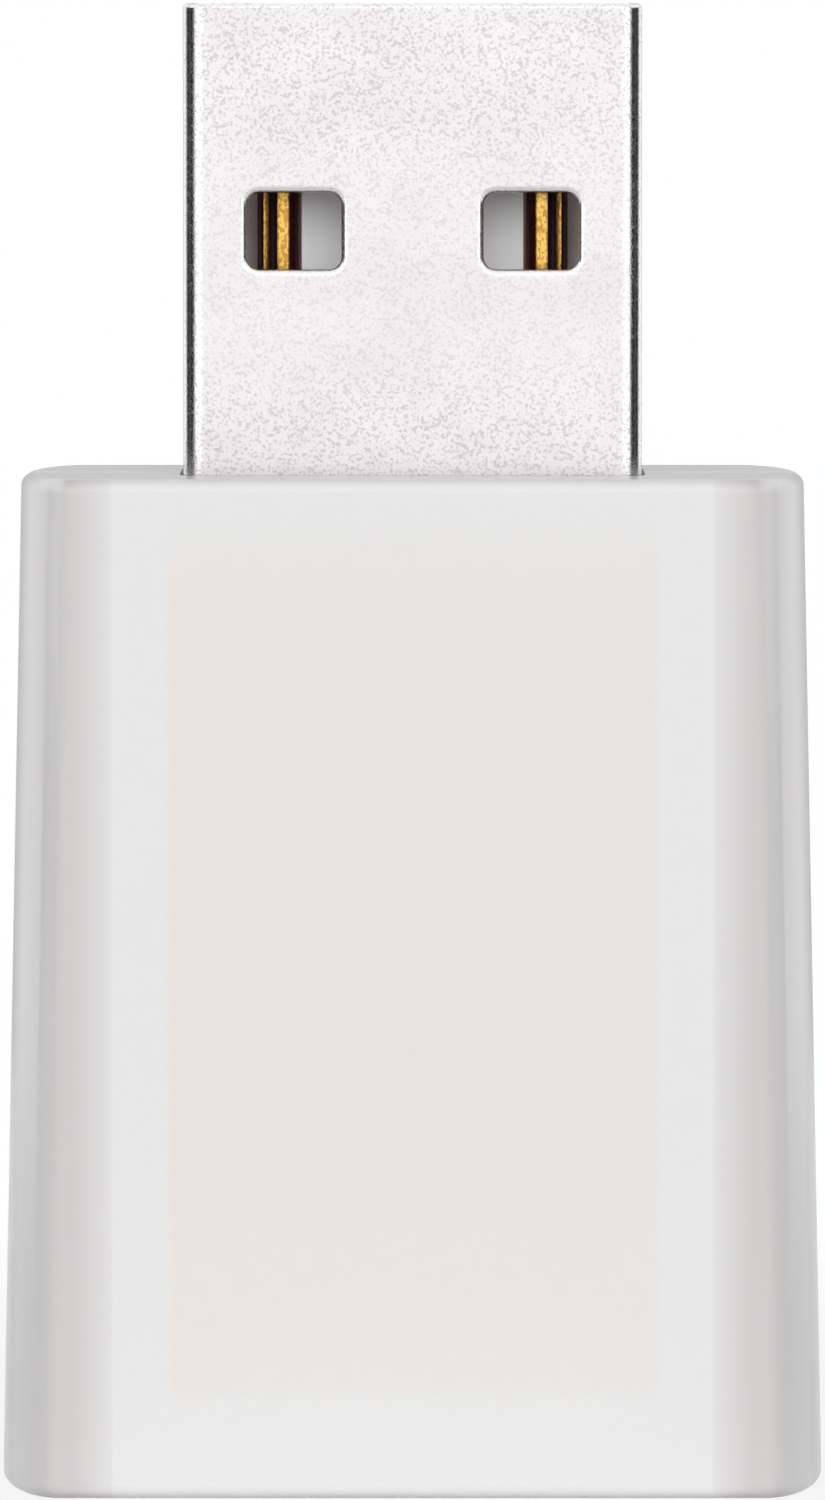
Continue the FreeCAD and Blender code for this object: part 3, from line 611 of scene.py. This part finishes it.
def buildPlugShell(look):
    shape = bmesh.new()
    flatTop = look["top"] - look["tipRoll"] - look["margin"]
    gaps = {0: look["slit"] / 2 + look["slitEase"], 1: look["slit"] / 2}     # 0 is the outer face
    insets = {0: 0.0, 1: look["sheet"]}
    rims, rings, routes = {}, {}, {}
    for wallSide in (-1, 1):
        for side in (-1, 1):
            rims[wallSide, side] = windowLoops(shape, look, side, wallSide)
    for layer in (0, 1):
        face = look["thickness"] / 2 - insets[layer]
        low = shellRing(shape, look, insets[layer], gaps[layer], look["bottom"])
        high = shellRing(shape, look, insets[layer], gaps[layer], flatTop)
        rings[layer] = (low, high)
        last = len(low) - 1
        front = last // 2                                                    # the one flat span in front
        for step in range(1, last - 1):
            if step != front:
                shape.faces.new((low[step], low[step + 1], high[step + 1], high[step]))
        border = [low[front], low[front + 1], high[front + 1], high[front]]
        fillLoops(shape, [border, rims[-1, -1][layer], rims[-1, 1][layer]])
        for side, slitEnd, flatEnd in ((-1, 0, 1), (1, last, last - 1)):
            route = seamRoute(look, side, gaps[layer])[1:-1]
            path = [low[slitEnd]] + addLoop(shape, [(x, face, z) for x, z in route]) + [high[slitEnd]]
            routes[layer, side] = path
            fillLoops(shape, [path + [high[flatEnd], low[flatEnd]], rims[1, side][layer]])
    joinLoops(shape, rings[0][0], rings[1][0], closed=False)
    # the tip: out of the outer face, over both rolled edges and down to the inner face
    roll = look["tipRoll"]
    profile = [(inset, rise) for rise, inset in rollSteps(roll, look["rollSteps"])]
    profile += [(look["sheet"] - inset, rise) for inset, rise in reversed(profile)]
    loops = [rings[0][1]]
    for inset, rise in profile:
        share = min(1.0, inset / look["sheet"])
        gap = gaps[0] + (gaps[1] - gaps[0]) * share
        loops.append(shellRing(shape, look, inset, gap, look["top"] - roll + rise))
    loops.append(rings[1][1])
    for first, second in zip(loops, loops[1:]):
        joinLoops(shape, first, second, closed=False)
    for side, end in ((-1, 0), (1, -1)):
        joinLoops(shape, routes[0, side], routes[1, side], closed=False)
        shape.faces.new([loop[end] for loop in loops])
    shell = makePiece("plugShell", shape, "plug_steel")
    notches, legs = bmesh.new(), bmesh.new()
    low = look["bottom"] + look["legLow"]
    high = low + look["legWidth"]
    relief = look["legRelief"]
    outside = look["width"] / 2
    rear = look["thickness"] / 2
    for side in (-1, 1):
        near, far = sorted((side * (outside - look["cornerRadius"]), side * (outside + look["notchPast"])))
        notchLow = (near, rear - look["cornerRadius"], low - relief)
        boxMesh(notches, notchLow, (far, rear + look["notchPast"], high + relief))
        near, far = sorted((side * (outside - look["sheet"]), side * outside))
        boxMesh(legs, (near, 0, low), (far, look["legEnd"], high))
    cutWith(shell, "DIFFERENCE", notches)
    cutWith(shell, "UNION", legs)
    evenShading(shell)
    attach(shell, "root")
    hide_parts("plug_shell")


buildPlugShell(plugShell)
print("plug shell built")


# Contacts: formed strips, hooked into the tongue and stepped down to the board

contacts = {
    "width": 1.0, "thickness": 0.2, "face": -0.05, "hook": 0.5, "bend": 0.25, "bendSteps": 6,
    "section": (                                     # (across, height), from the plug's middle outward
        (-0.5, -0.22), (-0.29, -0.04), (-0.24, -0.008), (-0.17, 0.0), (0.0, 0.0),
        (0.05, -0.01), (0.07, -0.04), (0.155, -0.22),
        (0.25, -0.09), (0.27, -0.072), (0.41, -0.018), (0.44, -0.04), (0.5, -0.13),
    ),
    "peakProud": 0.06,
    "bendHeight": 19.95, "foot": 2.15, "tailEnd": 18.9,
    "places": {                                      # offset from the middle, top
        "contact_power": (3.5, 37.05), "contact_data_minus": (1.0, 36.05),
        "contact_data_plus": (-1.0, 36.05), "contact_ground": (-3.5, 37.05),
    },
}


def bentLine(points, radius, steps):
    # (place, direction) along a line whose corners are rounded
    line = []
    for index, point in enumerate(points):
        if index in (0, len(points) - 1):
            near = points[1] - points[0] if index == 0 else points[-1] - points[-2]
            line.append((point, near.normalized()))
            continue
        back = (points[index - 1] - point).normalized()
        ahead = (points[index + 1] - point).normalized()
        centre = point + (back + ahead) * radius
        for step in range(steps + 1):
            angle = math.radians(90 * step / steps)
            place = centre - ahead * radius * math.cos(angle) - back * radius * math.sin(angle)
            direction = ahead * math.sin(angle) - back * math.cos(angle)
            line.append((place, direction))
    return line


def pieceName(nodeName):
    first, *others = nodeName.split("_")
    return first + "".join(word.capitalize() for word in others)


def buildContact(name, look):
    offset, top = look["places"][name]
    halfWidth = look["width"] / 2
    halfThickness = look["thickness"] / 2
    middle = look["face"] + halfThickness
    bends = [
        Vector((0, middle + look["hook"], top - halfThickness)),
        Vector((0, middle, top - halfThickness)),
        Vector((0, middle, look["bendHeight"])),
        Vector((0, look["foot"], look["bendHeight"])),
        Vector((0, look["foot"], look["tailEnd"])),
    ]
    outerSide = math.copysign(1, offset)
    peak = halfThickness + look["peakProud"]
    section = [(outerSide * across, peak + height) for across, height in look["section"]]
    section += [(outerSide * halfWidth, -halfThickness), (-outerSide * halfWidth, -halfThickness)]
    shape = bmesh.new()
    loops = []
    for place, direction in bentLine(bends, look["bend"], look["bendSteps"]):
        outward = direction.cross(Vector((1, 0, 0)))
        points = [place + outward * out + Vector((offset + across, 0, 0)) for across, out in section]
        loops.append(addLoop(shape, points))
    for first, second in zip(loops, loops[1:]):
        joinLoops(shape, first, second)
    for loop in (loops[0], loops[-1]):
        shape.faces.new(loop)
    piece = makePiece(pieceName(name), shape, "contact_gold")
    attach(piece, "root")
    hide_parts(name)


for name in contacts["places"]:
    buildContact(name, contacts)
print("contacts built")


# Studio: floor, world, lamps and camera

studio = {
    "floorRadius": 0.13, "floorSegments": 96,
    "floorColour": (0.67, 0.67, 0.665), "floorRough": 0.6, "floorSpecular": 0.1,
    "floorWhiteShare": 0.86,             # how much of the floor near the object looks plain white
    "floorFade": (0.02, 0.08),           # from here to here the rest of it turns white as well
    "worldLight": 0.10,
    # what gloss sees round the object, from straight ahead to the sides and on to the back
    "aheadGloss": 1.5, "frontGloss": 1.7, "sideGloss": 0.02, "besideGloss": 0.13,
    "backGloss": 1.3, "rearGloss": 0.6, "overheadGloss": 1.4,
    "aheadEdge": (-0.97, -0.88), "frontEdge": (-0.60, -0.42), "besideEdge": (0.11, 0.05),
    "backEdge": (0.38, 0.52), "rearEdge": (0.86, 0.96), "overheadEdge": (0.15, 0.35),
    "lampAim": 20.0,                     # height that the lamps point at, in millimetres
    "softboxes": [
        # name, azimuth, elevation, distance, width, height, watts
        ("leftSoftbox", -24, 18.5, 0.80, 0.60, 0.50, 3.0),
        ("rightSoftbox", 24, 18.5, 0.80, 0.60, 0.50, 3.0),
        ("backLeftSoftbox", -140, 8, 1.00, 0.60, 0.40, 1.8),
        ("backRightSoftbox", 140, 8, 1.00, 0.60, 0.40, 1.8),
        ("backSoftbox", 180, 4, 1.00, 0.60, 0.40, 3.0),
    ],
}
white = (1.0, 1.0, 1.0, 1.0)


def buildFloor(look):
    mesh = bpy.data.meshes.new("floor")
    shape = bmesh.new()
    segments = look["floorSegments"]
    bmesh.ops.create_circle(shape, cap_ends=True, segments=segments, radius=look["floorRadius"])
    shape.to_mesh(mesh)
    shape.free()
    floor = bpy.data.objects.new("floor", mesh)
    bpy.context.scene.collection.objects.link(floor)
    material, tree, shader = startMaterial("paleFloor")
    setSockets(shader, {
        "Base Color": (*look["floorColour"], 1.0),
        "Roughness": look["floorRough"],
        "Specular IOR Level": look["floorSpecular"],
    })
    path = addNode(tree, "ShaderNodeLightPath").outputs
    seen = highest(tree, path["Is Camera Ray"], path["Is Glossy Ray"], path["Is Transmission Ray"])
    glow = addNode(tree, "ShaderNodeEmission", {"Color": white, "Strength": 1.0})
    away = addNode(tree, "ShaderNodeVectorMath", {0: objectPlace(tree)}, operation="LENGTH")
    fade = fitRange(tree, away.outputs["Value"], *look["floorFade"], look["floorWhiteShare"], 1.0)
    mixed = {0: multiply(tree, seen, fade), 1: shader.outputs[0], 2: glow.outputs[0]}
    surface = addNode(tree, "ShaderNodeMixShader", mixed).outputs[0]
    tree.links.new(surface, tree.nodes["Material Output"].inputs["Surface"])
    mesh.materials.append(material)


def buildWorld(look):
    world = bpy.data.worlds.new("studio")
    world.use_nodes = True
    bpy.context.scene.world = world
    tree = world.node_tree
    path = addNode(tree, "ShaderNodeLightPath").outputs
    direction = addNode(tree, "ShaderNodeTexCoord").outputs["Generated"]
    aim = addNode(tree, "ShaderNodeSeparateXYZ", {0: direction}).outputs
    backward = aim["Y"]
    ahead = fitRange(tree, backward, *look["aheadEdge"], look["aheadGloss"], look["frontGloss"])
    inFront = multiply(tree, ahead, fitRange(tree, backward, *look["frontEdge"], 1.0, 0.0))
    rear = fitRange(tree, backward, *look["rearEdge"], look["backGloss"], look["rearGloss"])
    behind = multiply(tree, rear, fitRange(tree, backward, *look["backEdge"], look["sideGloss"], 1.0))
    overhead = fitRange(tree, aim["Z"], *look["overheadEdge"], 0.0, look["overheadGloss"])
    beside = fitRange(tree, absolute(tree, backward), *look["besideEdge"], 0.0, look["besideGloss"])
    gloss = highest(tree, behind, inFront, overhead, beside)
    seen = highest(tree, path["Is Camera Ray"], path["Is Transmission Ray"])
    strength = mixValue(tree, path["Is Glossy Ray"], look["worldLight"], gloss)
    strength = mixValue(tree, seen, strength, 1.0)
    background = tree.nodes["Background"]
    background.inputs["Color"].default_value = white
    tree.links.new(strength, background.inputs["Strength"])


def buildLamps(look):
    aim = Vector((0, 0, look["lampAim"] * mm))
    for name, azimuth, elevation, distance, width, height, watts in look["softboxes"]:
        lamp = bpy.data.lights.new(name, "AREA")
        lamp.shape = "RECTANGLE"
        lamp.size = width
        lamp.size_y = height
        lamp.energy = watts
        piece = bpy.data.objects.new(name, lamp)
        bpy.context.scene.collection.objects.link(piece)
        turn, rise = math.radians(azimuth), math.radians(elevation)
        level = math.cos(rise)
        outward = Vector((math.sin(turn) * level, -math.cos(turn) * level, math.sin(rise)))
        piece.location = aim + outward * distance
        piece.rotation_euler = outward.to_track_quat("Z", "Y").to_euler()
        piece.visible_glossy = False
        piece.visible_camera = False


view = {
    "distance": 0.335,                   # in front of the object's axis
    "height": 41.8 * mm,
    "pitchDown": 3.84,
    "lens": 203.8,
    "sensorHeight": 24.0,
    "clip": (0.01, 20),
}


def buildCamera(look):
    lens = bpy.data.cameras.new("camera")
    lens.sensor_fit = "VERTICAL"
    lens.sensor_height = look["sensorHeight"]
    lens.lens = look["lens"]
    lens.clip_start, lens.clip_end = look["clip"]
    camera = bpy.data.objects.new("camera", lens)
    bpy.context.scene.collection.objects.link(camera)
    camera.location = (0, -look["distance"], look["height"])
    camera.rotation_euler = (math.radians(90 - look["pitchDown"]), 0, 0)
    bpy.context.scene.camera = camera


buildFloor(studio)
buildWorld(studio)
buildLamps(studio)
buildCamera(view)
bpy.context.scene.view_settings.view_transform = "Standard"
print("studio and camera set")

bpy.context.view_layer.update()
